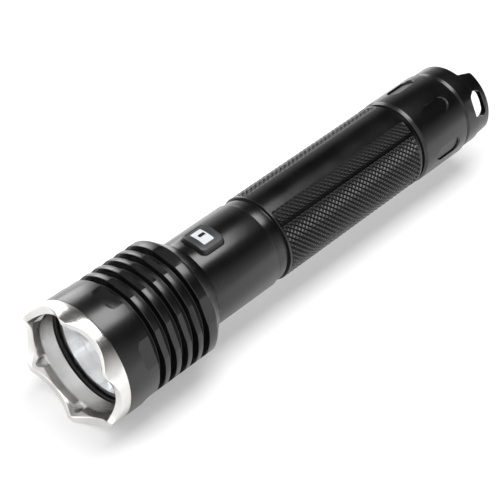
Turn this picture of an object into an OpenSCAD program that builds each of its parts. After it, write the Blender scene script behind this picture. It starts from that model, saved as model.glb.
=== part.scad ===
// Tactical flashlight for one 18650 cell: crowned bezel, finned head, side switch,
// knurled tube and slotted tailcap.
// Every station is a distance in mm along the beam axis, counted from the seam between bezel and head.
// The beam points along -X, the tailcap along +X, and the side switch faces +Z.

/* [Head] */
// Radius of the head and of the bezel
head_r = 17.45; // [16.9:0.05:18.5]
// Depth of the five cooling grooves
groove_depth = 2.2; // [0.6:0.1:2.4]
// Distance of the six flats from the axis
head_flat_x = 16.98; // [16.6:0.02:17.2]

/* [Bezel] */
// Height of the six tips above the seam
crown_h = 5.4; // [5:0.1:6.5]
// Radius of the scoops between the tips
scoop_r = 13.4; // [12.5:0.1:15]
// Height of the scoops' lowest point above the seam
scoop_low = 3.0; // [2.6:0.1:3.4]

/* [Tube] */
// Radius of the knurled tube (one inch across)
tube_r = 12.7; // [12.4:0.05:13]
// Depth of the knurled field below the smooth bands
knurl_depth = 0.25; // [0.1:0.05:0.35]
// Half angle of the smooth band over the switch line
band_half = 21; // [15:1:30]
// Centre of the smooth band, as an angle from the switch
band_angle = 2; // [-5:1:5]

/* [Switch collar] */
// Radius of the switch collar
collar_r = 12.63; // [12.5:0.01:12.7]
// Length of the side button along the axis
button_l = 7.9; // [7:0.1:8.2]
// Width of the side button round the collar
button_w = 8.9; // [7.5:0.1:9]
// Radius of the side button's curved top
button_top_r = 13.9; // [13.6:0.05:14.4]

/* [Tailcap] */
// Radius of the tailcap's body
cap_r = 12.9; // [12.8:0.05:13.3]
// Depth of the six finger pockets
pocket_depth = 0.6; // [0.3:0.1:0.8]
// Width of the lanyard slot in each ear
slot_w = 4.3; // [4.1:0.1:4.6]
// Direction of the first ear, as an angle from the switch
ear_angle = 63.4; // [55:0.2:70]

/* [Hidden] */

$fn = 64;
eps = 0.01;
cut = 30;
run = 0.07;

// Stations along the axis
tip_s = -crown_h;
shelf_s0 = 27.9;
shelf_s1 = 30.9;
cone_s0 = 30.4;
head_end = 36.1;
collar_end = 58.8;
spacer_end = 62.3;
tube_s0 = 63.0;
tube_s1 = 118.1;
cap_s0 = 119.4;
cap_groove_s0 = 137.8;
cap_groove_s1 = 139.8;
rim_s = 144.8;
ear_s = 149.2;
mid_s = (ear_s + tip_s) / 2;

// Threaded necks and their sockets
neck_r = 11.13;
socket_r = neck_r + run;
neck_bore = 9.6;
spacer_r = 12.2;
gap_r = 11.9;
plain_w = 1.2;
o_ring_r0 = 10.45;
o_ring_r1 = socket_r - 0.02;
o_groove_r = 10.4;
o_ring_w = 1.2;
front_neck_s0 = 52.9;
rear_neck_s1 = 127.1;
front_o_s = 56.9;
rear_o_s = 120.5;
head_o_s = 33.4;

// Head: front bore for the lens stack, and the bowl's bore
lens_bore_r = 16.27;
lens_r = lens_bore_r - 0.12;
bowl_bore_r = 14.3;
lens_stack_s0 = 3.8;
gasket_w = 1.0;
glass_w = 2.0;
flange_w = 1.4;
glass_s = lens_stack_s0 + gasket_w;
flange_s = glass_s + glass_w;
bowl_s = flange_s + flange_w;
gasket_in_r = 13.9;
sleeve_in_r = 15.1;
crown_in_r = 15.9;
crown_mid_r = 15.05;
crown_mid_s = -2.9;
lip_r = 14.75;
crown_step_s = -0.85;
mouth_r = 13.6;
bowl_wall = 0.6;
bowl_end = 25.6;
bowl_hole_r = 3.6;
boss_r = 5.5;
reflector_focus = (mouth_r * mouth_r - bowl_hole_r * bowl_hole_r) / (4 * (bowl_end - flange_s));
notch_r = 2.2;
notch_x = 13.3;
groove_starts = [9.85, 13.65, 17.5, 21.3, 25.2];
groove_widths = [2.1, 2.15, 2.25, 2.25, 2.3];
fin_chamfer = 0.25;
flat_s = 5.75;
flat_half = 4.03;
flat_angle = 5.6;
flat_corner = 2;
// Small edge break at the rear end of each flat
flat_break_angle = 16.7;
lead_x = -7.2;
lead_y = 1.6;
lead_r = 0.6;
board_r = 10;
board_s0 = 26.3;
screw_y = 8;
dome_r = 1.5;
die_w = 3.45;
die_h = 0.7;

// Side switch
button_s = 43.05;
button_corner = 1.4;
button_gap = 0.25;
button_edge = 0.3;
inner_x = 5;
button_travel = 0.6;
flange_top = 9.85;
flange_t = 0.85;
flange_rim = 0.6;
pocket_top = 9.9;
boot_t = 0.3;
inlay_l = 3.6;
inlay_w = 5.2;
inlay_proud = 0.02;
inlay_t = 0.3;
inlay_corner = 0.35;
inlay_s = button_s - 0.2;
window_l = 2.2;
window_w = 1.15;
window_corner = 0.2;
window_s = inlay_s + 0.24;
window_y = 0.45;
window_sunk = 0.03;
collar_bore = 9.7;
collar_neck_bore = 8.6;
carrier_s0 = 38.2;
carrier_s1 = 49.6;
carrier_top = 3.6;
switch_board_t = 1.0;
switch_board_w = 13;
tact_w = 6;
tact_top = 8.1;
plunger_r = 1.7;
plunger_bottom = 6.2;

// Driver, cell and springs
driver_s0 = 49.6;
driver_s1 = 51.2;
ring_s1 = 52.6;
cell_r = 9.2;
cell_s0 = 58.4;
cell_s1 = 122.4;
nub_s = 57.2;
nub_r = 2.9;
wrap_t = 0.15;
wire_r = 0.45;
tail_ring_s0 = 128.2;
tail_board_s0 = 129.4;
tail_board_s1 = 131.0;
clicky_s1 = 137.0;

// Tail
cap_bore = 10.2;
cap_socket_end = 127.6;
web_s0 = 141.2;
web_s1 = 142.6;
ear_r = 12.2;
ear_in_r = 10.4;
rear_r = 12.45;
boot_r = 6.3;
boot_hole_r = 6.6;
boot_flange_r = 8;
boot_flange_t = 1.8;
boot_top = 148.2;
boot_round = 1.2;
boot_s0 = web_s0 - 0.1 - boot_flange_t;
tail_travel = 1.8;
tail_plunger_r = 2.6;
plunger_in = 1.5;
clicky_w = 10;
valley_foot_w = 16;
valley_mouth_w = 17.2;
ear_corner = 1.2;
pocket_s0 = 124.9;
pocket_s1 = 134.4;
pocket_w = 4.4;
pocket_angle = 33.2;
lanyard_s = 145.55;
lanyard_l = 8.6;
ear_flat_x = 12.1;
ear_flat_s = 140.1;

// Turns the build axis onto the beam axis: build z becomes +X, build x becomes +Z.
module along() {
    translate([-mid_s, 0, 0]) rotate([0, 90, 0]) rotate([0, 0, 180]) children();
}

module disc(r, s0, s1) {
    translate([0, 0, s0]) cylinder(r = r, h = s1 - s0);
}

module ring(r_out, r_in, s0, s1) {
    difference() {
        disc(r_out, s0, s1);
        disc(r_in, s0 - 1, s1 + 1);
    }
}

module cone(r0, r1, s0, s1) {
    translate([0, 0, s0]) cylinder(r1 = r0, r2 = r1, h = s1 - s0);
}

// A turned ring from an outline of [radius, station] points
module turned(points) {
    rotate_extrude() polygon(points);
}

module six(start = 0) {
    for (k = [0:5]) rotate([0, 0, start + 60 * k]) children();
}

// A slab that lies along x, y wide and from s0 to s1, used to cut flats
module slab(x0, x1, half_y, s0, s1) {
    translate([x0, -half_y, s0]) cube([x1 - x0, 2 * half_y, s1 - s0]);
}

// An upright block with four rounded edges that stand along x
module pad(length, width, corner, x0, x1, s) {
    translate([x0, 0, s]) rotate([0, 90, 0]) union() {
        translate([-length / 2, corner - width / 2, 0]) cube([length, width - 2 * corner, x1 - x0]);
        translate([corner - length / 2, -width / 2, 0]) cube([length - 2 * corner, width, x1 - x0]);
        for (i = [-1, 1], j = [-1, 1])
            translate([i * (length / 2 - corner), j * (width / 2 - corner), 0])
                cylinder(r = corner, h = x1 - x0);
    }
}

// One ring of a wire swept along a helix, at the fraction t of its length
function helix_ring(t, r, s0, s1, turns, wire, sides) =
    [for (k = [0:sides - 1])
        let (a = 360 * turns * t, b = 360 * k / sides, rr = r + wire * cos(b))
        [rr * cos(a), rr * sin(a), s0 + (s1 - s0) * t + wire * sin(b)]];

module coil(r, s0, s1, turns, wire) {
    sides = 8;
    steps = ceil(turns * 20);
    points = [for (i = [0:steps]) each helix_ring(i / steps, r, s0 + wire, s1 - wire, turns, wire, sides)];
    first = [for (k = [0:sides - 1]) k];
    last = [for (k = [0:sides - 1]) steps * sides + sides - 1 - k];
    skin = [for (i = [0:steps - 1], k = [0:sides - 1])
        let (n = (k + 1) % sides)
        each [[i * sides + k, (i + 1) * sides + k, (i + 1) * sides + n],
              [i * sides + k, (i + 1) * sides + n, i * sides + n]]];
    polyhedron(points = points, faces = concat([first], skin, [last]), convexity = 8);
}

// Parabola of the bowl: station for a radius, with the mouth at the flange's front
function bowl_station(r) = flange_s + (mouth_r * mouth_r - r * r) / (4 * reflector_focus);

module strike_bezel() {
    color("silver") along() difference() {
        turned([[sleeve_in_r, crown_step_s + 0.35], [lip_r, crown_step_s], [crown_mid_r, crown_mid_s],
                [crown_in_r, tip_s], [head_r - 0.3, tip_s],
                [head_r, tip_s + 0.3], [head_r, -0.15], [head_r - 0.15, 0], [lens_bore_r - run, 0],
                [lens_bore_r - run, lens_stack_s0], [sleeve_in_r, lens_stack_s0]]);
        for (k = [0:2])
            rotate([0, 0, 30 + 60 * k]) translate([-cut, 0, -scoop_low - scoop_r])
                rotate([0, 90, 0]) cylinder(r = scoop_r, h = 2 * cut);
        six() translate([notch_x, 0, tip_s - 1]) cylinder(r = notch_r, h = 1 + crown_h + crown_step_s);
    }
}

module lens_gasket() {
    color("black") along() ring(lens_r, gasket_in_r, lens_stack_s0, glass_s);
}

module glass_lens() {
    color("lightcyan") along() disc(lens_r, glass_s, flange_s);
}

module reflector() {
    steps = 20;
    radii = [for (i = [0:steps]) mouth_r + (bowl_hole_r - mouth_r) * i / steps];
    inside = [for (r = radii) [r, bowl_station(r)]];
    outside = [for (i = [steps:-1:0])
        if (radii[i] > boss_r && bowl_station(radii[i]) > bowl_s + 0.1)
            [radii[i] + bowl_wall, bowl_station(radii[i])]];
    color("whitesmoke") along() turned(concat(inside,
        [[bowl_hole_r, bowl_end], [boss_r, bowl_end], [boss_r, outside[0][1]]],
        outside, [[mouth_r + bowl_wall, bowl_s], [lens_r, bowl_s], [lens_r, flange_s]]));
}

module led_centering_ring() {
    color("white") along() difference() {
        union() {
            disc(bowl_hole_r - 0.05, board_s0 - 1.4, board_s0);
            disc(boss_r, bowl_end, board_s0);
        }
        disc(die_w * 0.74, board_s0 - 2, board_s0 + 1);
    }
}

module led_dome() {
    color("lightyellow") along() intersection() {
        translate([0, 0, board_s0 - die_h]) sphere(r = dome_r);
        disc(dome_r + 1, board_s0 - die_h - dome_r - 1, board_s0 - die_h);
    }
}

module led_emitter() {
    color("gold") along() translate([-die_w / 2, -die_w / 2, board_s0 - die_h]) cube([die_w, die_w, die_h]);
}

module led_board() {
    color("white") along() difference() {
        disc(board_r, board_s0, shelf_s0);
        for (j = [-1, 1]) translate([0, j * screw_y, 0]) disc(1.1, board_s0 - 1, shelf_s0 + 1);
    }
}

module board_screws() {
    color("silver") along() for (j = [-1, 1]) translate([0, j * screw_y, 0]) difference() {
        union() {
            disc(1.0, board_s0, shelf_s1 - 0.4);
            disc(1.8, board_s0 - 0.9, board_s0);
        }
        translate([0, 0, board_s0 - 1]) cylinder(r = 0.75, h = 0.6, $fn = 6);
    }
}

module led_leads() {
    color("firebrick") along() for (j = [-1, 1])
        translate([lead_x, j * lead_y, 0]) disc(lead_r, shelf_s0, driver_s0);
}

module head_shell() {
    color("dimgray") along() difference() {
        turned([[lens_bore_r, 0], [head_r - 0.15, 0], [head_r, 0.15],
                for (i = [0:4]) each [
                    [head_r, groove_starts[i] - fin_chamfer],
                    [head_r - fin_chamfer, groove_starts[i]],
                    [head_r - groove_depth, groove_starts[i]],
                    [head_r - groove_depth, groove_starts[i] + groove_widths[i]],
                    [head_r - fin_chamfer, groove_starts[i] + groove_widths[i]],
                    [head_r, groove_starts[i] + groove_widths[i] + fin_chamfer]],
                [head_r, cone_s0], [tube_r + 0.1, head_end], [socket_r, head_end], [socket_r, shelf_s1],
                [0, shelf_s1], [0, shelf_s0], [bowl_bore_r, shelf_s0], [bowl_bore_r, bowl_s],
                [lens_bore_r, bowl_s]]);
        six(flat_angle) union() {
            slab(head_flat_x, cut, flat_half - flat_corner, flat_s, head_end);
            slab(head_flat_x, cut, flat_half, flat_s + flat_corner, head_end);
            for (j = [-1, 1])
                translate([head_flat_x, j * (flat_half - flat_corner), flat_s + flat_corner])
                    rotate([0, 90, 0]) cylinder(r = flat_corner, h = cut);
        }
        six(flat_angle) translate([head_flat_x, 0, cone_s0 - 0.1]) rotate([0, -flat_break_angle, 0])
            slab(0, 2, flat_half + 0.4, 0, 2);
        for (j = [-1, 1]) translate([lead_x, j * lead_y, 0]) disc(lead_r + 0.2, shelf_s0 - 1, shelf_s1 + 1);
        for (j = [-1, 1]) translate([0, j * screw_y, 0]) disc(1.0, shelf_s0 - 1, shelf_s1 - 0.4);
    }
}

module head_o_ring() {
    color("black") along() ring(socket_r, o_ring_r0, head_o_s, head_o_s + o_ring_w);
}

module switch_collar() {
    color("dimgray") along() difference() {
        turned([[0, shelf_s1 + 0.3], [neck_r, shelf_s1 + 0.3], [neck_r, head_end], [collar_r, head_end],
                [collar_r, collar_end - 0.25], [collar_r - 0.25, collar_end], [0, collar_end]]);
        disc(collar_neck_bore, shelf_s1, carrier_s0);
        disc(collar_bore, carrier_s0 - eps, collar_end + 1);
        disc(socket_r, front_neck_s0 - 0.1, collar_end + 1);
        ring(neck_r + 1, o_groove_r, head_o_s - 0.1, head_o_s + o_ring_w + 0.1);
        pad(button_l + 2 * button_gap, button_w + 2 * button_gap, button_corner + button_gap,
            inner_x, cut, button_s);
        slab(inner_x, pocket_top, button_w / 2 + 1, carrier_s0 + 0.1, button_s + button_l / 2 + 1);
    }
}

module side_button() {
    color("dimgray") along() difference() {
        union() {
            intersection() {
                pad(button_l, button_w, button_corner, flange_top - flange_t, cut, button_s);
                union() {
                    disc(button_top_r - button_edge, button_s - button_l, button_s + button_l);
                    intersection() {
                        disc(button_top_r, button_s - button_l, button_s + button_l);
                        pad(button_l - 2 * button_edge, button_w - 2 * button_edge, button_corner - 0.2,
                            inner_x, cut, button_s);
                    }
                }
            }
            slab(flange_top - flange_t, flange_top, button_w / 2 + flange_rim,
                 button_s - button_l / 2 - flange_rim, button_s + button_l / 2 + flange_rim);
        }
        inlay_solid(button_top_r - inlay_t);
    }
}

// The inlay's outline from a bottom radius upward
module inlay_solid(r0) {
    intersection() {
        pad(inlay_l, inlay_w, inlay_corner, inner_x, cut, inlay_s);
        ring(cut, r0, button_s - button_l, button_s + button_l);
    }
}

module window_outline() {
    translate([0, window_y, 0]) pad(window_l, window_w, window_corner, inner_x, cut, window_s);
}

module button_inlay() {
    color("white") along() difference() {
        intersection() {
            inlay_solid(button_top_r - inlay_t);
            disc(button_top_r + inlay_proud, button_s - button_l, button_s + button_l);
        }
        window_outline();
    }
}

module indicator_window() {
    color("black") along() intersection() {
        window_outline();
        ring(button_top_r - window_sunk, button_top_r - inlay_t, button_s - button_l, button_s + button_l);
    }
}

module button_boot() {
    color("black") along()
        pad(button_l + 2 * flange_rim, button_w + 2 * flange_rim, button_corner,
            flange_top - flange_t - boot_t, flange_top - flange_t, button_s);
}

module tact_plunger() {
    color("ivory") along() translate([plunger_bottom, 0, button_s]) rotate([0, 90, 0])
        cylinder(r = plunger_r, h = flange_top - flange_t - boot_t - plunger_bottom);
}

module tact_switch() {
    base = carrier_top + switch_board_t;
    color("black") along() difference() {
        slab(base, tact_top - 0.2, tact_w / 2, button_s - tact_w / 2, button_s + tact_w / 2);
        translate([plunger_bottom - button_travel - 0.1, 0, button_s]) rotate([0, 90, 0])
            cylinder(r = plunger_r + 0.05, h = cut);
    }
}

module switch_board() {
    color("green") along()
        slab(carrier_top, carrier_top + switch_board_t, switch_board_w / 2, carrier_s0 + 1, carrier_s1 - 1.6);
}

module switch_carrier() {
    color("darkslategray") along() difference() {
        disc(collar_bore - 0.1, carrier_s0 + 0.1, carrier_s1);
        slab(carrier_top, cut, cut, carrier_s0, carrier_s1 - 1.5);
        slab(carrier_top + switch_board_t, cut, cut, carrier_s1 - 1.6, carrier_s1 + 1);
        for (j = [-1, 1]) translate([lead_x, j * lead_y, 0]) disc(lead_r + 0.2, carrier_s0, carrier_s1 + 1);
    }
}

module driver_board() {
    color("green") along() union() {
        disc(collar_bore - 0.1, driver_s0, driver_s1);
        translate([-3, -3, driver_s1]) cube([6, 6, 0.8]);
    }
}

module driver_ring() {
    color("goldenrod") along() difference() {
        ring(collar_bore - 0.02, collar_bore - 2, driver_s1, ring_s1);
        for (k = [0, 1]) rotate([0, 0, 180 * k]) slab(7, cut, 0.8, ring_s1 - 0.8, ring_s1 + 1);
    }
}

module front_contact_spring() {
    color("goldenrod") along() coil(2.3, driver_s1 + 0.8, nub_s, 3.5, wire_r);
}

module spacer_ring() {
    color("dimgray") along()
        turned([[neck_r, collar_end], [spacer_r - 0.25, collar_end], [spacer_r, collar_end + 0.25],
                [spacer_r, spacer_end - 0.4], [spacer_r - 0.3, spacer_end], [neck_r, spacer_end]]);
}

module battery_tube() {
    color("dimgray") along() difference() {
        turned([[neck_bore, front_neck_s0], [neck_r, front_neck_s0], [neck_r, spacer_end],
                [gap_r, spacer_end], [gap_r, tube_s0], [tube_r - 0.3, tube_s0], [tube_r, tube_s0 + 0.3],
                [tube_r, tube_s1 - 0.3], [tube_r - 0.3, tube_s1], [gap_r, tube_s1], [gap_r, cap_s0],
                [neck_r, cap_s0], [neck_r, rear_neck_s1], [neck_bore, rear_neck_s1]]);
        ring(neck_r + 0.5, o_groove_r, front_o_s - 0.1, front_o_s + o_ring_w + 0.1);
        ring(neck_r + 0.5, o_groove_r, rear_o_s - 0.1, rear_o_s + o_ring_w + 0.1);
        for (k = [0, 1]) rotate([0, 0, 180 * k + band_angle + band_half])
            rotate_extrude(angle = 180 - 2 * band_half)
                translate([tube_r - knurl_depth, tube_s0 + plain_w])
                    square([1, tube_s1 - tube_s0 - 2 * plain_w]);
    }
}

module tube_front_o_ring() {
    color("black") along() ring(o_ring_r1, o_ring_r0, front_o_s, front_o_s + o_ring_w);
}

module tube_rear_o_ring() {
    color("black") along() ring(o_ring_r1, o_ring_r0, rear_o_s, rear_o_s + o_ring_w);
}

module cell_can() {
    color("silver") along() union() {
        disc(cell_r - wrap_t, cell_s0, cell_s1);
        disc(nub_r, nub_s, cell_s0);
    }
}

module cell_wrap() {
    color("steelblue") along() union() {
        ring(cell_r, cell_r - wrap_t, cell_s0, cell_s1);
        ring(cell_r, cell_r - 2.2, cell_s0 - 0.2, cell_s0);
    }
}

module cell_top_ring() {
    color("white") along() ring(cell_r - 2.2, nub_r + 0.6, cell_s0 - 0.4, cell_s0);
}

module tail_spring() {
    color("goldenrod") along() coil(4, cell_s1, tail_board_s0, 4.5, wire_r + 0.1);
}

module tail_retaining_ring() {
    color("goldenrod") along() difference() {
        ring(cap_bore - 0.02, cap_bore - 2.2, tail_ring_s0, tail_board_s0);
        for (k = [0, 1]) rotate([0, 0, 180 * k]) slab(7, cut, 0.8, tail_ring_s0 - 1, tail_ring_s0 + 0.8);
    }
}

module tail_board() {
    color("green") along() disc(cap_bore - 0.1, tail_board_s0, tail_board_s1);
}

module tail_switch() {
    color("black") along() difference() {
        slab(-clicky_w / 2, clicky_w / 2, clicky_w / 2, tail_board_s1, clicky_s1);
        disc(tail_plunger_r + 0.05, clicky_s1 - plunger_in - tail_travel - 0.1, clicky_s1 + 1);
    }
}

module tail_plunger() {
    color("ivory") along() disc(tail_plunger_r, clicky_s1 - plunger_in, boot_s0);
}

module tail_boot() {
    inner_r = boot_r - boot_round;
    inner_s = boot_top - boot_round;
    color("black") along() turned([[0, boot_s0], [boot_flange_r, boot_s0],
        [boot_flange_r, boot_s0 + boot_flange_t], [boot_r, boot_s0 + boot_flange_t],
        for (a = [0:15:90]) [inner_r + boot_round * cos(a), inner_s + boot_round * sin(a)],
        [0, boot_top]]);
}

// The valley between the ears, cut along the line through both gaps, with rounded corners
module valley() {
    foot = valley_foot_w / 2 - ear_corner;
    mouth = valley_mouth_w / 2 + ear_corner;
    half = concat(
        [for (a = [-90:15:0]) [foot + ear_corner * cos(a), rim_s + ear_corner + ear_corner * sin(a)]],
        [for (a = [180:-15:90]) [mouth + ear_corner * cos(a), ear_s - ear_corner + ear_corner * sin(a)]],
        [[mouth, ear_s + 1]]);
    outline = concat(half, [for (i = [len(half) - 1:-1:0]) [-half[i][0], half[i][1]]]);
    rotate([0, 0, ear_angle + 90]) translate([-cut, 0, 0]) rotate([90, 0, 90])
        linear_extrude(2 * cut) polygon(outline);
}

module lanyard_slot(angle) {
    rotate([0, 0, angle]) union() {
        slab(-cut, cut, (lanyard_l - slot_w) / 2, lanyard_s - slot_w / 2, lanyard_s + slot_w / 2);
        for (j = [-1, 1])
            translate([-cut, j * (lanyard_l - slot_w) / 2, lanyard_s]) rotate([0, 90, 0])
                cylinder(r = slot_w / 2, h = 2 * cut);
    }
}

module finger_pocket() {
    reach = (pocket_s1 - pocket_s0 - pocket_w) / 2;
    translate([cap_r - pocket_depth, 0, (pocket_s0 + pocket_s1) / 2]) {
        slab(0, cut, pocket_w / 2, -reach, reach);
        for (i = [-1, 1]) translate([0, 0, i * reach]) rotate([0, 90, 0]) cylinder(r = pocket_w / 2, h = cut);
    }
}

module tailcap() {
    color("dimgray") along() difference() {
        turned([[socket_r, cap_s0], [cap_r - 0.5, cap_s0], [cap_r, cap_s0 + 1], [cap_r, cap_groove_s0],
                [cap_r - 0.9, cap_groove_s0], [cap_r - 0.9, cap_groove_s1 - 0.8], [rear_r, cap_groove_s1],
                [rear_r, rim_s - 0.4], [ear_r, rim_s], [ear_r, ear_s - 0.3], [ear_r - 0.3, ear_s],
                [ear_in_r + 0.2, ear_s], [ear_in_r, ear_s - 0.2], [ear_in_r, web_s1],
                [boot_hole_r, web_s1], [boot_hole_r, web_s0], [cap_bore, web_s0],
                [cap_bore, cap_socket_end], [socket_r, cap_socket_end]]);
        six(pocket_angle) finger_pocket();
        valley();
        lanyard_slot(ear_angle);
        for (k = [0, 1]) rotate([0, 0, ear_angle + 180 * k])
            slab(ear_flat_x, cut, cut, ear_flat_s, lanyard_s);
    }
}

strike_bezel();
lens_gasket();
glass_lens();
reflector();
led_centering_ring();
led_dome();
led_emitter();
led_board();
board_screws();
led_leads();
head_shell();
head_o_ring();
switch_collar();
side_button();
button_inlay();
indicator_window();
button_boot();
tact_plunger();
tact_switch();
switch_board();
switch_carrier();
driver_board();
driver_ring();
front_contact_spring();
spacer_ring();
battery_tube();
tube_front_o_ring();
tube_rear_o_ring();
cell_can();
cell_wrap();
cell_top_ring();
tail_spring();
tail_retaining_ring();
tail_board();
tail_switch();
tail_plunger();
tail_boot();
tailcap();
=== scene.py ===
"""Looks of the tactical flashlight: turned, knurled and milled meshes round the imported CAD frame.

Lengths are in millimetres, and become metres where a mesh is made. The floor, lights and camera are placed
in metres. A station is a distance along the beam axis from the seam between bezel and head, and phi is the
angle in degrees round the axis, from the side switch.
"""
import math

import bmesh
import bpy
import numpy as np
from mathutils import Matrix, Vector


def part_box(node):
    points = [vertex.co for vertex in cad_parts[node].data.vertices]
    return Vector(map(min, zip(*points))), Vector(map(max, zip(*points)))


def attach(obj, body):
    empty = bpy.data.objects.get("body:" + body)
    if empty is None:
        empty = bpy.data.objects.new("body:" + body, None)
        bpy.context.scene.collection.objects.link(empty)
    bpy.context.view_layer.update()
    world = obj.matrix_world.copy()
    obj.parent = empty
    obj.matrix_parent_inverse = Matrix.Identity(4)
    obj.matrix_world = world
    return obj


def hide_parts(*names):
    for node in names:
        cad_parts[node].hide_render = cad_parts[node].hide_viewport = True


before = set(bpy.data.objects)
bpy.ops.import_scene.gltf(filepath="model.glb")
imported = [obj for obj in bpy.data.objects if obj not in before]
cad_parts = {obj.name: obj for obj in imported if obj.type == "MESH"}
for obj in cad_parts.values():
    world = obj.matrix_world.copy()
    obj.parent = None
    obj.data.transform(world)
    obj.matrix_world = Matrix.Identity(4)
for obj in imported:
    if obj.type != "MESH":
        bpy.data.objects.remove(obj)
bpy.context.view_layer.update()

MM = 0.001
SEAM_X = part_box("head_shell")[0].x / MM
SEGMENTS = 384
SHARP = math.radians(28)
SIXTH = 60  # degrees: the crown, the head's flats and the cap's pockets all repeat six times


# ---------------------------------------------------------------- stations read from the CAD frame
def span(node):
    """First and last station of a CAD node, in mm."""
    low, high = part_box(node)
    return low.x / MM - SEAM_X, high.x / MM - SEAM_X


TIP_S = span("strike_bezel")[0]
SLEEVE_END = span("strike_bezel")[1]
HEAD_END = span("head_shell")[1]
COLLAR_END = span("switch_collar")[1]
SPACER_END = span("spacer_ring")[1]
CAP_S0, EAR_S = span("tailcap")
HEAD_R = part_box("head_shell")[1].z / MM
COLLAR_R = 12.63
TUBE_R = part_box("battery_tube")[1].y / MM
CAP_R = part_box("tailcap")[1].y / MM
TUBE_S0 = 63.0
TUBE_S1 = 118.1
NECK_R = 11.13
SOCKET_R = 11.2


# ---------------------------------------------------------------- mesh helpers
def to_world(radius, phi, station):
    """Points in metres from arrays of radius, phi (degrees) and station."""
    a = np.radians(phi)
    return np.stack([SEAM_X + station + 0 * a, -radius * np.sin(a), radius * np.cos(a)], axis=-1) * MM


def new_object(name, verts, faces):
    mesh = bpy.data.meshes.new(name)
    mesh.from_pydata([tuple(v) for v in verts], [], faces)
    mesh.validate()
    obj = bpy.data.objects.new(name, mesh)
    bpy.context.scene.collection.objects.link(obj)
    return obj


def ring_faces(i, j, columns):
    """Quads that join ring i of points to ring j."""
    after = [(k + 1) % columns for k in range(columns)]
    return [(i * columns + k, i * columns + n, j * columns + n, j * columns + k) for k, n in enumerate(after)]


def prism_faces(n):
    """Faces of a prism whose n bottom points come before its n top points."""
    sides = [(i, i + n, (i + 1) % n + n, (i + 1) % n) for i in range(n)]
    return [tuple(range(n)), tuple(reversed(range(n, 2 * n)))] + sides


def clean(obj, merge=1e-6):
    """Merges doubles, turns the faces outward and smooths all but the sharp edges."""
    bm = bmesh.new()
    bm.from_mesh(obj.data)
    bmesh.ops.remove_doubles(bm, verts=bm.verts, dist=merge)
    bmesh.ops.dissolve_degenerate(bm, edges=bm.edges, dist=merge)
    bmesh.ops.recalc_face_normals(bm, faces=bm.faces)
    bm.to_mesh(obj.data)
    bm.free()
    obj.data.shade_smooth()
    obj.data.set_sharp_from_angle(angle=SHARP)
    return obj


def rounded(outline, steps=4):
    """Turns an outline of (radius, station, fillet) into plain points with arcs at the filleted corners."""
    points = []
    count = len(outline)
    for i, (r, s, fillet) in enumerate(outline):
        here = np.array([r, s])
        if not fillet:
            points.append(here)
            continue
        back = np.array(outline[i - 1][:2]) - here
        ahead = np.array(outline[(i + 1) % count][:2]) - here
        back /= np.linalg.norm(back)
        ahead /= np.linalg.norm(ahead)
        half = math.acos(max(-1, min(1, float(back @ ahead)))) / 2
        middle = (back + ahead) / np.linalg.norm(back + ahead)
        centre = here + middle * fillet / math.sin(half)
        start = here + back * fillet / math.tan(half) - centre
        end = here + ahead * fillet / math.tan(half) - centre
        turn = math.pi - 2 * half
        side = np.sign(start[0] * end[1] - start[1] * end[0])
        for k in range(steps + 1):
            a = side * turn * k / steps
            points.append(centre + np.array([start[0] * math.cos(a) - start[1] * math.sin(a),
                                             start[0] * math.sin(a) + start[1] * math.cos(a)]))
    return points


def turned(name, outline, segments=SEGMENTS):
    """A closed outline of (radius, station, fillet) turned round the beam axis."""
    points = rounded(outline)
    rows = len(points)
    phi = np.arange(segments) * 360 / segments
    verts = np.concatenate([to_world(np.full(segments, p[0]), phi, np.full(segments, p[1])) for p in points])
    faces = []
    for i in range(rows):
        j = (i + 1) % rows
        on_axis = points[i][0] == 0 and points[j][0] == 0
        if not on_axis:
            faces += ring_faces(i, j, segments)
    return clean(new_object(name, verts, faces))


def cut(obj, cutters):
    """Takes the cutters away from the object with exact booleans, and removes them."""
    for cutter in cutters:
        modifier = obj.modifiers.new("cut", "BOOLEAN")
        modifier.operation = "DIFFERENCE"
        modifier.solver = "EXACT"
        modifier.object = cutter
    bpy.context.view_layer.update()
    depsgraph = bpy.context.evaluated_depsgraph_get()
    mesh = bpy.data.meshes.new_from_object(obj.evaluated_get(depsgraph))
    obj.modifiers.clear()
    obj.data = mesh
    for cutter in cutters:
        bpy.data.objects.remove(cutter)
    return clean(obj, 2e-6)


def prism(name, outline, low, high, phi, flare=0.0):
    """A cutter that points outward at phi. outline is in (across, station), low and high are radii.

    With flare, the top is wider than the bottom by that much on every side, for a milled chamfer.
    """
    a = math.radians(phi)
    out = np.array([0, -math.sin(a), math.cos(a)])
    across = np.array([0, -math.cos(a), -math.sin(a)])
    centre = np.mean(np.array(outline), axis=0)
    verts = []
    for radius, grow in ((low, 0.0), (high, flare)):
        for u, s in outline:
            d = np.array([u, s]) - centre
            u2, s2 = np.array([u, s]) + d / np.linalg.norm(d) * grow
            verts.append((np.array([SEAM_X + s2, 0, 0]) + out * radius + across * u2) * MM)
    return clean(new_object(name, verts, prism_faces(len(outline))))


def chamfer_cutter(name, outline, surface, width, phi):
    """A cutter that bevels a milled opening's edge at 45 degrees. surface is the radius of the skin there."""
    return prism(name, outline, surface - width, surface - width + 1, phi, flare=1.0)


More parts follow.
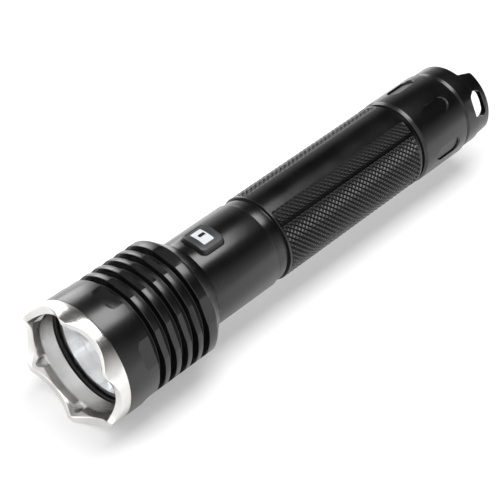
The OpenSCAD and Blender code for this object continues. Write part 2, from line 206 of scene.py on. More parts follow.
def rounded_box(width, length, corner, centre_s=0.0, centre_u=0.0, steps=8, sides=0):
    """Outline of a rounded rectangle in (across, station), with extra points along each straight side."""
    corners = []
    for i, j, start in ((1, 1, 0), (-1, 1, 90), (-1, -1, 180), (1, -1, 270)):
        angles = [math.radians(start + 90 * k / steps) for k in range(steps + 1)]
        corners.append([(centre_u + i * (width / 2 - corner) + corner * math.cos(a),
                         centre_s + j * (length / 2 - corner) + corner * math.sin(a)) for a in angles])
    points = []
    for arc, following in zip(corners, corners[1:] + corners[:1]):
        points += arc
        (u0, s0), (u1, s1) = arc[-1], following[0]
        shares = [k / (sides + 1) for k in range(1, sides + 1)]
        points += [(u0 + (u1 - u0) * t, s0 + (s1 - s0) * t) for t in shares]
    return points


# ---------------------------------------------------------------- materials
def base_material(name, colour, roughness, metallic=0.0):
    mat = bpy.data.materials.new(name)
    mat.use_nodes = True
    tree = mat.node_tree
    shader = next(n for n in tree.nodes if n.type == "BSDF_PRINCIPLED")
    shader.inputs["Base Color"].default_value = (*colour, 1)
    shader.inputs["Roughness"].default_value = roughness
    shader.inputs["Metallic"].default_value = metallic
    return mat, tree, shader


def noise(tree, vector, scale, detail=3.0):
    node = tree.nodes.new("ShaderNodeTexNoise")
    node.inputs["Scale"].default_value = scale
    node.inputs["Detail"].default_value = detail
    tree.links.new(vector, node.inputs["Vector"])
    return node.outputs["Fac"]


def remap(tree, value, low, high, from_low=0.3, from_high=0.7):
    node = tree.nodes.new("ShaderNodeMapRange")
    node.inputs["From Min"].default_value = from_low
    node.inputs["From Max"].default_value = from_high
    node.inputs["To Min"].default_value = low
    node.inputs["To Max"].default_value = high
    tree.links.new(value, node.inputs["Value"])
    return node.outputs["Result"]


def two_colours(tree, value, dark, light):
    node = tree.nodes.new("ShaderNodeMix")
    node.data_type = "RGBA"
    node.inputs["A"].default_value = (*dark, 1)
    node.inputs["B"].default_value = (*light, 1)
    tree.links.new(value, node.inputs["Factor"])
    return next(o for o in node.outputs if o.type == "RGBA")


def maths(tree, operation, *values):
    """Output of a math node whose inputs come from the given sockets."""
    node = tree.nodes.new("ShaderNodeMath")
    node.operation = operation
    for value, socket in zip(values, node.inputs):
        tree.links.new(value, socket)
    return node.outputs[0]


def separate(tree, vector):
    node = tree.nodes.new("ShaderNodeSeparateXYZ")
    tree.links.new(vector, node.inputs[0])
    return node.outputs


def bump(tree, shader, height, strength, depth_mm):
    node = tree.nodes.new("ShaderNodeBump")
    node.inputs["Strength"].default_value = strength
    node.inputs["Distance"].default_value = depth_mm * MM
    tree.links.new(height, node.inputs["Height"])
    tree.links.new(node.outputs["Normal"], shader.inputs["Normal"])


def object_position(tree):
    return tree.nodes.new("ShaderNodeTexCoord").outputs["Object"]


def ring_position(tree):
    """(station, radius, 0), so that a noise read there makes rings round the beam axis, as turning does."""
    place = separate(tree, object_position(tree))
    squares = [maths(tree, "MULTIPLY", place[axis], place[axis]) for axis in ("Y", "Z")]
    joined = tree.nodes.new("ShaderNodeCombineXYZ")
    tree.links.new(place["X"], joined.inputs["X"])
    tree.links.new(maths(tree, "SQRT", maths(tree, "ADD", *squares)), joined.inputs["Y"])
    return joined.outputs[0]


def grained(name, dark, light, rough, grain=5000, strength=0.15, depth_mm=0.02, metallic=0.0):
    """A matte skin: slow colour change, fine grain in the bump, and roughness between two values."""
    mat, tree, shader = base_material(name, dark, rough[0], metallic)
    where = object_position(tree)
    slow = noise(tree, where, 120, 4)
    fine = noise(tree, where, grain, 2)
    tree.links.new(two_colours(tree, remap(tree, slow, 0, 1), dark, light), shader.inputs["Base Color"])
    tree.links.new(remap(tree, slow, *rough), shader.inputs["Roughness"])
    bump(tree, shader, fine, strength, depth_mm)
    return mat


def machined(name, dark, light, rough):
    """Bright turned metal: fine rings round the axis in the bump and the roughness."""
    mat, tree, shader = base_material(name, light, rough[0], 1.0)
    rings = noise(tree, ring_position(tree), 9000, 3)
    slow = noise(tree, object_position(tree), 150, 3)
    tree.links.new(two_colours(tree, remap(tree, slow, 0, 1), dark, light), shader.inputs["Base Color"])
    tree.links.new(remap(tree, rings, *rough), shader.inputs["Roughness"])
    bump(tree, shader, rings, 0.12, 0.01)
    return mat


def clear(name, tint, rough, ior):
    mat, tree, shader = base_material(name, tint, rough)
    shader.inputs["Transmission Weight"].default_value = 1.0
    shader.inputs["IOR"].default_value = ior
    smudge = noise(tree, object_position(tree), 300, 2)
    tree.links.new(remap(tree, smudge, rough, rough + 0.02), shader.inputs["Roughness"])
    return mat


ANODISED = grained("black anodising", (0.0012, 0.0012, 0.0014), (0.0022, 0.0022, 0.0025), (0.23, 0.28),
                   grain=6000, strength=0.12, depth_mm=0.02)
KNURL = grained("anodised knurl", (0.0015, 0.0015, 0.0017), (0.003, 0.003, 0.0033), (0.18, 0.24),
                grain=6000, strength=0.15, depth_mm=0.02)
STEEL = machined("polished stainless steel", (0.62, 0.61, 0.595), (0.73, 0.715, 0.70), (0.18, 0.28))
PLAIN_STEEL = machined("zinc-plated steel", (0.5, 0.5, 0.52), (0.66, 0.66, 0.68), (0.25, 0.4))
CHROME = grained("reflector coating", (0.90, 0.90, 0.90), (0.94, 0.94, 0.94), (0.03, 0.06),
                 grain=900, strength=0.02, depth_mm=0.004, metallic=1.0)
RUBBER = grained("black rubber", (0.006, 0.006, 0.006), (0.012, 0.012, 0.012), (0.55, 0.7), grain=3500)
SILICONE = grained("tail boot silicone", (0.010, 0.010, 0.011), (0.018, 0.018, 0.019), (0.5, 0.62),
                   grain=2600, strength=0.25, depth_mm=0.03)
PAD = grained("switch pad", (0.010, 0.010, 0.011), (0.016, 0.016, 0.017), (0.42, 0.5),
              grain=5200, strength=0.2)
INLAY = grained("pad inlay", (0.42, 0.43, 0.45), (0.50, 0.51, 0.53), (0.22, 0.3), grain=4000, strength=0.05)
SMOKED = grained("smoked window", (0.02, 0.017, 0.017), (0.035, 0.03, 0.03), (0.12, 0.2),
                 grain=900, strength=0.03)
WHITE_PLASTIC = grained("white plastic", (0.78, 0.78, 0.76), (0.86, 0.86, 0.84), (0.4, 0.5), grain=2500)
IVORY = grained("ivory plastic", (0.70, 0.66, 0.54), (0.78, 0.74, 0.62), (0.4, 0.5), grain=2500)
BLACK_PLASTIC = grained("black plastic", (0.015, 0.015, 0.015), (0.025, 0.025, 0.025), (0.4, 0.55),
                        grain=2500)
PHOSPHOR = grained("led phosphor", (0.85, 0.55, 0.06), (0.95, 0.70, 0.12), (0.35, 0.5), grain=7000)
MASK_WHITE = grained("white solder mask", (0.75, 0.75, 0.73), (0.85, 0.85, 0.83), (0.25, 0.35), grain=1500)
MASK_GREEN = grained("green solder mask", (0.006, 0.06, 0.025), (0.01, 0.09, 0.04), (0.25, 0.35), grain=1500)
GOLD = machined("gold-plated brass", (0.72, 0.50, 0.18), (0.86, 0.64, 0.28), (0.2, 0.32))
LEAD = grained("lead insulation", (0.35, 0.012, 0.012), (0.5, 0.03, 0.03), (0.45, 0.6), grain=2000)
CELL_STEEL = machined("nickel-plated can", (0.55, 0.55, 0.54), (0.7, 0.7, 0.69), (0.2, 0.32))
SLEEVE = grained("cell sleeve", (0.02, 0.07, 0.20), (0.035, 0.10, 0.26), (0.25, 0.38), grain=700)
GLASS = clear("lens glass", (0.97, 0.985, 1.0), 0.0, 1.46)
DOME = clear("led silicone dome", (1.0, 0.97, 0.88), 0.02, 1.42)


def dress(obj, mat):
    obj.data.materials.clear()
    obj.data.materials.append(mat)
    return obj


def piece(obj, mat, body, node):
    """Finishes a piece that stands for one CAD node."""
    dress(obj, mat)
    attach(obj, body)
    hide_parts(node)
    return obj


# ---------------------------------------------------------------- bezel
CROWN_SEGMENTS = 720
SCOOP_R = 13.4
SCOOP_LOW = 3.0
TIP_BLEND = 0.12
CROWN_IN_R = 15.9
SCOOP_IN_R = 15.05
SCOOP_IN_S = -2.9
LIP_R = 14.75
LIP_FLAT = 0.06
STEP_S = -0.85
STEP_L = 0.35
SLEEVE_IN_R = 15.1
SLEEVE_R = 16.2
SLEEVE_CHAMFER = 0.1
SEAM_ROUND = 0.15
RIM_ROUND = 0.16
CONE_ROWS = 10
NOTCH_X = 13.3
NOTCH_R = 2.2
NOTCH_STEPS = 24


def crown_height(radius, phi):
    """Station of the crown's rim: flat tips, and round scoops between them, meeting in a small round."""
    from_scoop = (phi % SIXTH) - SIXTH / 2
    across = radius * np.sin(np.radians(from_scoop))
    scoop = -(SCOOP_LOW + SCOOP_R) + np.sqrt(np.maximum(SCOOP_R ** 2 - across ** 2, 0))
    gap = scoop - TIP_S
    return TIP_S + (gap + np.sqrt(gap * gap + TIP_BLEND * TIP_BLEND)) / 2 - TIP_BLEND / 2


def funnel(station):
    """Radius of the bezel's inside, which narrows from the crown down to the lip."""
    return np.interp(station, [TIP_S, SCOOP_IN_S, STEP_S], [CROWN_IN_R, SCOOP_IN_R, LIP_R])


def crown_outside(phi):
    """Rings of (radii, stations) from the seam up to the outer edge of the rim."""
    rows = [(HEAD_R - SEAM_ROUND, 0.0), (HEAD_R - 0.04, -0.04), (HEAD_R, -SEAM_ROUND)]
    top = crown_height(HEAD_R, phi)
    for t in (0.35, 0.7):
        rows.append((HEAD_R, -SEAM_ROUND + t * (top + RIM_ROUND + SEAM_ROUND)))
    for a in np.radians((0, 22.5, 45, 67.5, 90)):
        r = HEAD_R - RIM_ROUND + RIM_ROUND * math.cos(a)
        rows.append((r, crown_height(r, phi) + RIM_ROUND - RIM_ROUND * math.sin(a)))
    return rows


def crown_inside(phi):
    """Rings of (radii, stations) across the rim and down the funnel to the lip."""
    edge = np.full(len(phi), CROWN_IN_R)
    for _ in range(8):  # the rim's station depends on its radius, and the funnel's radius on its station
        edge = funnel(crown_height(edge, phi))
    outer = HEAD_R - RIM_ROUND
    inner = edge + 0.1
    rows = []
    for t in (0.33, 0.66, 1):
        r = outer + t * (inner - outer)
        rows.append((r, crown_height(r, phi)))
    rows.append((edge + 0.03, crown_height(edge + 0.03, phi) + 0.03))
    start = crown_height(edge, phi) + 0.12
    for k in range(CONE_ROWS + 1):
        s = start + (STEP_S - start) * k / CONE_ROWS
        rows.append((funnel(s), s))
    return rows


def crown_sleeve():
    """Rings of (radius, station) from the lip down the sleeve inside the head, and back up to the seam."""
    return [(LIP_R, STEP_S + LIP_FLAT), (SLEEVE_IN_R, STEP_S + STEP_L),
            (SLEEVE_IN_R, SLEEVE_END - SLEEVE_CHAMFER), (SLEEVE_IN_R + SLEEVE_CHAMFER, SLEEVE_END),
            (SLEEVE_R - SLEEVE_CHAMFER, SLEEVE_END), (SLEEVE_R, SLEEVE_END - SLEEVE_CHAMFER), (SLEEVE_R, 0.0)]


def crown_notch(k):
    """A round cutter beside the axis, which notches the funnel's wall under one of the crown's tips."""
    a = np.arange(NOTCH_STEPS) * 2 * math.pi / NOTCH_STEPS
    x = NOTCH_X + NOTCH_R * np.cos(a)
    y = NOTCH_R * np.sin(a)
    phi = SIXTH * k + np.degrees(np.arctan2(y, x))
    ends = [to_world(np.hypot(x, y), phi, s) for s in (TIP_S - 1, STEP_S)]
    return clean(new_object(f"notch_{k}", np.concatenate(ends), prism_faces(NOTCH_STEPS)))


def crown_bezel():
    phi = np.arange(CROWN_SEGMENTS) * 360 / CROWN_SEGMENTS
    rows = crown_outside(phi) + crown_inside(phi) + crown_sleeve()
    verts = np.concatenate([to_world(r, phi, s) for r, s in rows])
    faces = []
    for i in range(len(rows)):
        faces += ring_faces(i, (i + 1) % len(rows), CROWN_SEGMENTS)
    return cut(clean(new_object("crown_bezel", verts, faces)), [crown_notch(k) for k in range(6)])


piece(crown_bezel(), STEEL, "bezel", "strike_bezel")


# ---------------------------------------------------------------- head
GROOVES = ((9.85, 2.1), (13.65, 2.15), (17.5, 2.25), (21.3, 2.25), (25.2, 2.3))
GROOVE_R = 15.25
GROOVE_ROUND = 0.2
FIN_ROUND = 0.14
SLEEVE_BORE = 16.27
SLEEVE_BORE_END = 8.2
LED_BORE = 14.3
LED_WALL = (27.9, 30.9)
LEAD_HOLE = 0.8
CONE_S = 30.4
CONE_ROUND = 1.2
CONE_END_R = 12.8
FLAT_X = 16.98
FLAT_PHI = 5.6
FLAT_W = 8.3
FLAT_L = 34.0
FLAT_CORNER = 2.0
FLAT_S0 = 5.75


def head():
    outline = [(SLEEVE_BORE, 0, 0), (HEAD_R, 0, 0.15)]
    for start, width in GROOVES:
        outline += [(HEAD_R, start, FIN_ROUND), (GROOVE_R, start, GROOVE_ROUND),
                    (GROOVE_R, start + width, GROOVE_ROUND), (HEAD_R, start + width, FIN_ROUND)]
    outline += [(HEAD_R, CONE_S, CONE_ROUND), (CONE_END_R, HEAD_END, 0.15), (SOCKET_R, HEAD_END, 0),
                (SOCKET_R, LED_WALL[1], 0), (LEAD_HOLE, LED_WALL[1], 0), (LEAD_HOLE, LED_WALL[0], 0),
                (LED_BORE, LED_WALL[0], 0), (LED_BORE, SLEEVE_BORE_END, 0), (SLEEVE_BORE, SLEEVE_BORE_END, 0)]
    flat = rounded_box(FLAT_W, FLAT_L, FLAT_CORNER, FLAT_S0 + FLAT_L / 2)
    flats = [prism(f"flat_{k}", flat, FLAT_X, HEAD_R + 2, FLAT_PHI + SIXTH * k) for k in range(6)]
    return cut(turned("finned_head", outline), flats)


piece(head(), ANODISED, "head", "head_shell")


# ---------------------------------------------------------------- switch collar and its pad
PAD_S = 43.05
PAD_L = 7.9
PAD_W = 8.9
PAD_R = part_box("side_button")[1].z / MM
PAD_BASE_R = 9.0
PAD_CORNER = 1.4
PAD_ROUND = 0.35
RIM_W = 1.5
DISH_W = PAD_W - 1.7
DISH_L = PAD_L - 1.7
DISH_CORNER = 0.85
DISH_DEPTH = 0.12
DISH_RINGS = 9
PLATE_T = 0.25
PLATE_EDGE = 0.06
PLATE_RINGS = 7
WINDOW_GAP = 0.5
WINDOW_CORNER = 1.65
WINDOW_BEVEL = 0.15
COLLAR_BORE = 9.7
COLLAR_NECK_L = 4.9
COLLAR_SOCKET_L = 6


def collar():
    neck_s = HEAD_END - COLLAR_NECK_L
    socket_s = COLLAR_END - COLLAR_SOCKET_L
    outline = [(COLLAR_BORE, neck_s, 0), (NECK_R, neck_s, 0.2), (NECK_R, HEAD_END, 0),
               (COLLAR_R, HEAD_END, 0.12), (COLLAR_R, COLLAR_END, 0.3), (SOCKET_R, COLLAR_END, 0.1),
               (SOCKET_R, socket_s, 0), (COLLAR_BORE, socket_s, 0)]
    opening = rounded_box(PAD_W + WINDOW_GAP, PAD_L + WINDOW_GAP, WINDOW_CORNER, PAD_S)
    window = prism("window", opening, 8.0, COLLAR_R + 2, 0)
    rim = chamfer_cutter("window_rim", opening, COLLAR_R, WINDOW_BEVEL, 0)
    return cut(turned("collar", outline), [window, rim])


def curved_pad(name, rings, across=0.0):
    """A cap of rounded-rectangle rings. Each ring is (width, length, corner, centre station, height rule)."""
    verts = []
    for width, length, corner, centre, height in rings:
        for u, s in rounded_box(width, length, corner, centre, across, steps=6, sides=10):
            verts.append(((SEAM_X + s) * MM, -u * MM, height(u) * MM))
    n = len(verts) // len(rings)
    faces = []
    for i in range(len(rings) - 1):
        faces += ring_faces(i, i + 1, n)
    faces.append(tuple(range(n)))
    faces.append(tuple(reversed(range(len(verts) - n, len(verts)))))
    return clean(new_object(name, verts, faces), 1e-7)


def shrinking(width, length, corner, centre, height, count):
    """Ever smaller copies of a ring, which fill its inside with a surface that follows the height rule."""
    shares = [1 - k / count for k in range(1, count)]
    return [(width * t, length * t, corner * t, centre, height) for t in shares]


def on_tube(radius):
    return lambda u: math.sqrt(radius * radius - u * u)


def level(value):
    return lambda u: value


def side_pad():
    """A pad with rounded edges and a raised rim round a shallow dish."""
    rings = [(PAD_W, PAD_L, PAD_CORNER, PAD_S, level(PAD_BASE_R)),
             (PAD_W, PAD_L, PAD_CORNER, PAD_S, on_tube(PAD_R - 0.45))]
    for a in np.radians((30, 60, 90)):
        inset = PAD_ROUND * (1 - math.cos(a))
        height = on_tube(PAD_R - PAD_ROUND * (1 - math.sin(a)))
        rings.append((PAD_W - 2 * inset, PAD_L - 2 * inset, PAD_CORNER - 0.6 * inset, PAD_S, height))
    rings.append((PAD_W - RIM_W, PAD_L - RIM_W, 0.9, PAD_S, on_tube(PAD_R)))
    dish = (DISH_W, DISH_L, DISH_CORNER, PAD_S, on_tube(PAD_R - DISH_DEPTH))
    return curved_pad("side_pad", rings + [dish] + shrinking(*dish, DISH_RINGS))


def plate(name, width, length, corner, centre, radius, across=0.0):
    """A thin plate set into the pad's dish, with a bevelled edge."""
    top = (width - 2 * PLATE_EDGE, length - 2 * PLATE_EDGE, corner, centre, on_tube(radius))
    rings = [(width, length, corner, centre, on_tube(radius - PLATE_T)),
             (width, length, corner, centre, on_tube(radius - PLATE_EDGE)), top]
    return curved_pad(name, rings + shrinking(*top, PLATE_RINGS), across)


piece(collar(), ANODISED, "head", "switch_collar")
piece(side_pad(), PAD, "side_button", "side_button")
piece(plate("pad_inlay_plate", 5.2, 3.6, 0.3, PAD_S - 0.2, PAD_R - 0.04),
      INLAY, "side_button", "button_inlay")
piece(plate("pad_window", 1.15, 2.2, 0.15, PAD_S + 0.04, PAD_R - 0.015, across=-0.45),
      SMOKED, "side_button", "indicator_window")


# ---------------------------------------------------------------- spacer ring
SPACER_R = 12.2
SPACER_BEVEL = (0.42, 0.35)


def spacer():
    bevel_in, bevel_back = SPACER_BEVEL
    outline = [(NECK_R, COLLAR_END, 0), (SPACER_R, COLLAR_END, 0.2),
               (SPACER_R, SPACER_END - bevel_back, 0.08), (SPACER_R - bevel_in, SPACER_END, 0.08),
               (NECK_R, SPACER_END, 0)]
    return turned("spacer", outline)


piece(spacer(), ANODISED, "battery_tube", "spacer_ring")


# ---------------------------------------------------------------- knurled tube
KNURLS_ROUND = 48
SAMPLES = 6  # points of the mesh across one knurl
COLUMNS = KNURLS_ROUND * SAMPLES
STEP = 2 * math.pi * TUBE_R / COLUMNS
BAND_PHI = 2.0
BAND_HALF = 21.0
KNURL_DEPTH = 0.45
KNURL_MARGIN = 0.55
FLAT_TOP = 1 / 3
RIB = (38.2, 41.0)
RIB_GROOVE = (41.0, 42.6)
RIB_GROOVE_DEPTH = 0.4
RIDGE = (42.6, 43.6)
SKIN_R = TUBE_R - 0.02
EDGE_RINGS = ((0.45, 0.0), (0.12, 0.08), (0.02, 0.25))  # drop below the tube, distance from its end
GAP_R = 11.9
NECK_BORE = 9.6
FRONT_NECK_S = 52.9
REAR_NECK_L = 7.7


def knurl_height(column, row):
    """Height, 0 to 1, of flat-topped diamonds that stand on a square lattice and on its middle points."""
    half = SAMPLES // 2
    across = np.abs(column % SAMPLES - half)
    along = abs(row % SAMPLES - half)
    shifted = np.abs((column + half) % SAMPLES - half) + abs((row + half) % SAMPLES - half)
    away = np.minimum(across + along, shifted) / half
    return 1 - np.clip((away - FLAT_TOP) / (1 - FLAT_TOP), 0, 1)


def skin_rows():
    """Rings of (radii, station) of the knurled fields, the smooth bands and the ribs beside them."""
    column = np.arange(COLUMNS)
    from_band = np.abs((column * 360 / COLUMNS - BAND_PHI + 90) % 180 - 90)
    smooth = (from_band <= BAND_HALF) | ((from_band >= RIB[0]) & (from_band <= RIDGE[1]))
    groove = (from_band > RIB_GROOVE[0]) & (from_band < RIB_GROOVE[1])
    length = TUBE_S1 - TUBE_S0 - 2 * KNURL_MARGIN
    count = int(length / STEP)
    start = (TUBE_S0 + TUBE_S1 - count * STEP) / 2
    rows = []
    for j in range(count + 1):
        radii = TUBE_R - KNURL_DEPTH * (1 - knurl_height(column, j))
        radii = np.where(smooth, SKIN_R, radii)
        radii = np.where(groove, TUBE_R - RIB_GROOVE_DEPTH, radii)
        if j in (0, count):
            radii = np.full(COLUMNS, SKIN_R)
        rows.append((radii, start + j * STEP))
    return rows


def split_quad(quad, radii):
    """Two triangles, split along the diagonal whose ends are closer in height, to keep a diamond's shape."""
    a, b, c, d = quad
    if abs(radii[0] - radii[2]) <= abs(radii[1] - radii[3]):
        return [(a, b, c), (a, c, d)]
    return [(a, b, d), (b, c, d)]


def knurled_tube():
    skin = skin_rows()
    front = [(TUBE_R - drop, TUBE_S0 + distance) for drop, distance in EDGE_RINGS]
    rear = [(TUBE_R - drop, TUBE_S1 - distance) for drop, distance in reversed(EDGE_RINGS)]
    necks = [(GAP_R, TUBE_S1), (GAP_R, CAP_S0), (NECK_R, CAP_S0), (NECK_R, CAP_S0 + REAR_NECK_L),
             (NECK_BORE, CAP_S0 + REAR_NECK_L), (NECK_BORE, FRONT_NECK_S), (NECK_R, FRONT_NECK_S),
             (NECK_R, SPACER_END), (GAP_R, SPACER_END), (GAP_R, TUBE_S0)]
    plain = [(np.full(COLUMNS, radius), station) for radius, station in front + rear + necks]
    rows = plain[:len(front)] + skin + plain[len(front):]
    phi = np.arange(COLUMNS) * 360 / COLUMNS
    verts = np.concatenate([to_world(radii, phi, station) for radii, station in rows])
    faces = []
    for i in range(len(rows)):
        j = (i + 1) % len(rows)
        quads = ring_faces(i, j, COLUMNS)
        if len(front) <= i < len(front) + len(skin) - 1:
            here, ahead = rows[i][0], rows[j][0]
            corners = zip(here, np.roll(here, -1), np.roll(ahead, -1), ahead)
            for quad, radii in zip(quads, corners):
                faces += split_quad(quad, radii)
        else:
            faces += quads
    return clean(new_object("knurled_tube", verts, faces), 1e-7)


piece(knurled_tube(), KNURL, "battery_tube", "battery_tube")


# ---------------------------------------------------------------- tailcap and boot
EAR_PHI = 63.4
EAR_R = 12.2
EAR_IN_R = 10.4
EAR_FLAT_R = 12.1
EAR_FLAT = (140.1, 145.5)
VALLEY_FOOT = 8.0
VALLEY_MOUTH = 8.6
VALLEY_ROUND = 1.2
RIM_S = 144.8
REAR_R = 12.45
CAP_SOCKET_END = 127.6
CAP_BORE = 10.2
CAP_WALL = (141.2, 142.6)
BOOT_HOLE = 6.6
CAP_GROOVE = (137.8, 139.0, 139.8)
CAP_GROOVE_R = CAP_R - 0.85
CAP_BEVEL = (0.5, 0.95)
POCKET_W = 4.4
POCKET_L = 9.5
POCKET_S = 129.65
POCKET_PHI = 33.2
POCKET_DEPTH = 0.6
POCKET_BEVEL = 0.35
SLOT_L = 8.6
SLOT_W = 4.3
SLOT_S = 145.55
SLOT_BEVEL = 0.4


def obround(width, length, centre_s):
    """Outline in (across, station), rounded at both ends of its longer side."""
    return rounded_box(width, length, min(width, length) / 2 - 0.001, centre_s, steps=12)


def finger_pockets():
    outline = obround(POCKET_W, POCKET_L, POCKET_S)
    cutters = []
    for k in range(6):
        phi = POCKET_PHI + SIXTH * k
        cutters.append(prism(f"pocket_{k}", outline, CAP_R - POCKET_DEPTH, CAP_R + 1, phi))
        cutters.append(chamfer_cutter(f"pocket_rim_{k}", outline, CAP_R, POCKET_BEVEL, phi))
    return cutters


def ear_valley():
    """A cutter right across the cap's end, which leaves an ear on each side. Its corners are round."""
    foot = VALLEY_FOOT - VALLEY_ROUND
    mouth = VALLEY_MOUTH + VALLEY_ROUND
    half = [(foot + VALLEY_ROUND * math.cos(a), RIM_S + VALLEY_ROUND + VALLEY_ROUND * math.sin(a))
            for a in np.radians(np.arange(-90, 1, 10))]
    half += [(mouth + VALLEY_ROUND * math.cos(a), EAR_S - VALLEY_ROUND + VALLEY_ROUND * math.sin(a))
             for a in np.radians(np.arange(180, 89, -10))]
    half.append((mouth, EAR_S + 2))
    return prism("valley", half + [(-u, s) for u, s in reversed(half)], -20, 20, EAR_PHI + 90)


def ear_cutters():
    """The lanyard slot of each ear and the flat on its outside."""
    slot = obround(SLOT_L, SLOT_W, SLOT_S)
    low, high = EAR_FLAT
    cutters = []
    for k in (0, 1):
        phi = EAR_PHI + 180 * k
        cutters.append(prism(f"slot_{k}", slot, 7.5, 16, phi))
        cutters.append(chamfer_cutter(f"slot_rim_{k}", slot, EAR_FLAT_R, SLOT_BEVEL, phi))
        cutters.append(prism(f"flat_{k}", [(-8, low), (8, low), (8, high), (-8, high)], EAR_FLAT_R, 16, phi))
    return cutters


def tail_cap():
    bevel_in, bevel_back = CAP_BEVEL
    groove_start, groove_floor_end, groove_end = CAP_GROOVE
    outline = [(SOCKET_R, CAP_S0, 0), (CAP_R - bevel_in, CAP_S0, 0.08), (CAP_R, CAP_S0 + bevel_back, 0.15),
               (CAP_R, groove_start, 0.12), (CAP_GROOVE_R, groove_start, 0.1),
               (CAP_GROOVE_R, groove_floor_end, 0.2), (REAR_R, groove_end, 0.1), (REAR_R, RIM_S, 0.5),
               (EAR_R, RIM_S + 0.2, 0.1), (EAR_R, EAR_S, 0.35), (EAR_IN_R, EAR_S, 0.2),
               (EAR_IN_R, CAP_WALL[1], 0.2), (BOOT_HOLE, CAP_WALL[1], 0.1), (BOOT_HOLE, CAP_WALL[0], 0),
               (CAP_BORE, CAP_WALL[0], 0), (CAP_BORE, CAP_SOCKET_END, 0), (SOCKET_R, CAP_SOCKET_END, 0)]
    return cut(turned("tail_cap", outline), finger_pockets() + [ear_valley()] + ear_cutters())


def boot():
    """The dome that sticks out through the cap's hole, and the flange that the cap's wall holds."""
    flange_r, hole_r, neck_r, dome_r = 8.0, 6.3, 5.9, 5.5
    flange = (139.3, 141.1)
    step, shoulder, top = 146.6, 147.0, 148.2
    outline = [(0, flange[0], 0), (flange_r, flange[0], 0.2), (flange_r, flange[1], 0.2),
               (hole_r, flange[1], 0), (hole_r, step, 0.3), (neck_r, shoulder, 0.3), (dome_r, top, 0.9),
               (2.6, top, 0.4), (0, top - 0.5, 0)]
    return turned("boot", outline, 192)


piece(tail_cap(), ANODISED, "tailcap", "tailcap")
piece(boot(), SILICONE, "tail_button", "tail_boot")


# ---------------------------------------------------------------- lens stack
SEAL_R = (14.75, 16.1)
SEAL_S = (4.2, 4.8)
BOWL_MOUTH = 13.6
BOWL_HOLE = 3.6
BOWL_BACK_R = 5.5
BOWL_WALL = 0.6
BOWL_RIM = (14.2, 16.1, 1.4)


def gasket():
    inner, outer = SEAL_R
    front, back = SEAL_S
    outline = [(inner, front, 0.15), (outer, front, 0.2), (outer, back, 0), (inner, back, 0.1)]
    return turned("lens_seal", outline, 256)


def bowl():
    """A parabola of revolution from the mouth down to the hole for the LED, with a wall and a rim."""
    front, back = span("reflector")
    focus = (BOWL_MOUTH ** 2 - BOWL_HOLE ** 2) / (4 * (back - front))

    def parabola(r):
        return front + (BOWL_MOUTH ** 2 - r ** 2) / (4 * focus)

    step_r, rim_r, rim_t = BOWL_RIM
    outline = [(r, parabola(r), 0) for r in np.linspace(BOWL_MOUTH, BOWL_HOLE, 48)]
    outline += [(BOWL_BACK_R, back, 0)]
    outline += [(r + BOWL_WALL, parabola(r), 0) for r in np.linspace(BOWL_BACK_R, 12.8, 16)]
    outline += [(step_r, front + rim_t, 0), (rim_r, front + rim_t, 0), (rim_r, front, 0)]
    return turned("bowl", outline, 256)


piece(gasket(), RUBBER, "bezel_thread", "lens_gasket")
piece(bowl(), CHROME, "head", "reflector")

# ---------------------------------------------------------------- CAD nodes that keep their shape
KEPT = {
    "glass_lens": GLASS, "led_centering_ring": WHITE_PLASTIC, "led_dome": DOME, "led_emitter": PHOSPHOR,
    "led_board": MASK_WHITE, "board_screws": PLAIN_STEEL, "led_leads": LEAD, "head_o_ring": RUBBER,
    "button_boot": RUBBER, "tact_plunger": IVORY, "tact_switch": BLACK_PLASTIC,
    "switch_board": MASK_GREEN, "switch_carrier": BLACK_PLASTIC,
    "driver_board": MASK_GREEN, "driver_ring": GOLD, "front_contact_spring": GOLD,
    "tube_front_o_ring": RUBBER, "tube_rear_o_ring": RUBBER,
    "cell_can": CELL_STEEL, "cell_wrap": SLEEVE, "cell_top_ring": WHITE_PLASTIC,
    "tail_spring": GOLD, "tail_retaining_ring": GOLD, "tail_board": MASK_GREEN,
    "tail_switch": BLACK_PLASTIC, "tail_plunger": IVORY,
}
for node_name, material in KEPT.items():
    dress(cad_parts[node_name], material)


# ---------------------------------------------------------------- floor, light and camera
FLOOR_SIZE = 4.0
SOFTBOXES = {
    # name: (location, target, width, height, radiance)
    "overhead": ((0.09, -0.02, 0.40), (0.09, -0.02, 0.0), 0.30, 0.23, 8.6),
    "far side": ((0.09, 0.54, 0.18), (0.0, 0.0, 0.02), 0.34, 0.31, 5.0),
    "knurl": ((-0.12, -0.03, 0.38), (0.01, -0.01, 0.0), 0.16, 0.20, 5.0),
}
CAMERA_RIGHT = (0.68452, -0.72900, 0.0)
CAMERA_UP = (0.48249, 0.45304, 0.74966)
CAMERA_PLACE = (-0.27455, -0.24738, 0.31655)
LENS_MM = 129.6


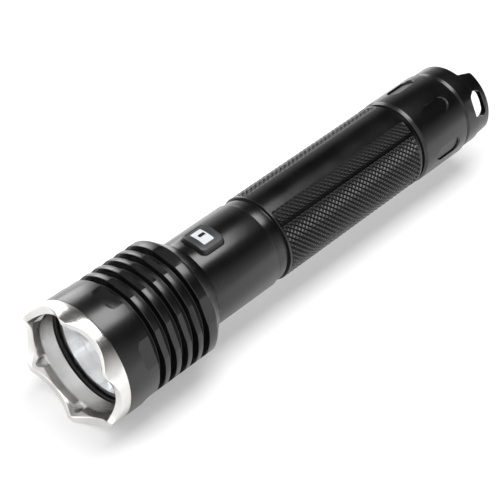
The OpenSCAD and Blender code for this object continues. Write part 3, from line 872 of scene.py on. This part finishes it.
def pale_floor():
    """A pale matte floor, which glows a little so that it comes out white; the glow is weaker near the
    flashlight, which is painted shade round it.
    """
    bpy.ops.mesh.primitive_plane_add(size=FLOOR_SIZE, location=(0, 0, -HEAD_R * MM))
    floor = bpy.context.object
    floor.name = "floor"
    mat, tree, shader = base_material("pale floor", (0.5, 0.5, 0.5), 0.85)
    where = object_position(tree)
    mottle = remap(tree, noise(tree, where, 3, 2), 0, 1)
    tree.links.new(two_colours(tree, mottle, (0.50, 0.50, 0.50), (0.52, 0.52, 0.52)),
                   shader.inputs["Base Color"])
    shader.inputs["Specular IOR Level"].default_value = 0.0
    shader.inputs["Emission Color"].default_value = (1, 1, 1, 1)
    away = maths(tree, "ABSOLUTE", separate(tree, where)["Y"])
    # painted shade: the floor's glow falls from 0.8 to 0.32 near the beam axis, a painted shadow under and
    # beside the flashlight
    glow_with_painted_shade = remap(tree, away, 0.32, 0.8, from_low=0.02, from_high=0.08)
    tree.links.new(glow_with_painted_shade, shader.inputs["Emission Strength"])
    dress(floor, mat)


def surroundings():
    """White walls low down and in front of the lens, fading to a dark room above."""
    world = bpy.data.worlds.new("studio")
    bpy.context.scene.world = world
    world.use_nodes = True
    tree = world.node_tree
    back = next(n for n in tree.nodes if n.type == "BACKGROUND")
    back.inputs["Color"].default_value = (1, 1, 1, 1)
    direction = tree.nodes.new("ShaderNodeTexCoord").outputs["Generated"]
    lean = tree.nodes.new("ShaderNodeVectorMath")
    lean.operation = "DOT_PRODUCT"
    lean.inputs[1].default_value = (0.6, 0.0, 1.0)
    tree.links.new(direction, lean.inputs[0])
    walls = remap(tree, lean.outputs["Value"], 1.0, 0.02, from_low=0.38, from_high=0.90)
    before_lens = remap(tree, separate(tree, direction)["X"], 1.3, 0.0, from_low=-0.9, from_high=-0.3)
    tree.links.new(maths(tree, "ADD", walls, before_lens), back.inputs["Strength"])


def softbox(name, location, target, width, height, radiance):
    light = bpy.data.lights.new(name, "AREA")
    light.shape = "RECTANGLE"
    light.size = width
    light.size_y = height
    light.energy = radiance * math.pi * width * height
    obj = bpy.data.objects.new(name, light)
    bpy.context.scene.collection.objects.link(obj)
    obj.location = location
    obj.rotation_euler = (Vector(target) - Vector(location)).to_track_quat("-Z", "Y").to_euler()


def camera():
    right = Vector(CAMERA_RIGHT)
    up = Vector(CAMERA_UP)
    data = bpy.data.cameras.new("camera")
    data.sensor_width = 36
    data.lens = LENS_MM
    data.clip_start = 0.01
    obj = bpy.data.objects.new("camera", data)
    bpy.context.scene.collection.objects.link(obj)
    place = Matrix((right, up, right.cross(up))).transposed().to_4x4()
    place.translation = Vector(CAMERA_PLACE)
    obj.matrix_world = place
    bpy.context.scene.camera = obj


pale_floor()
surroundings()
for box_name, settings in SOFTBOXES.items():
    softbox(box_name, *settings)
camera()
bpy.context.scene.view_settings.view_transform = "Standard"
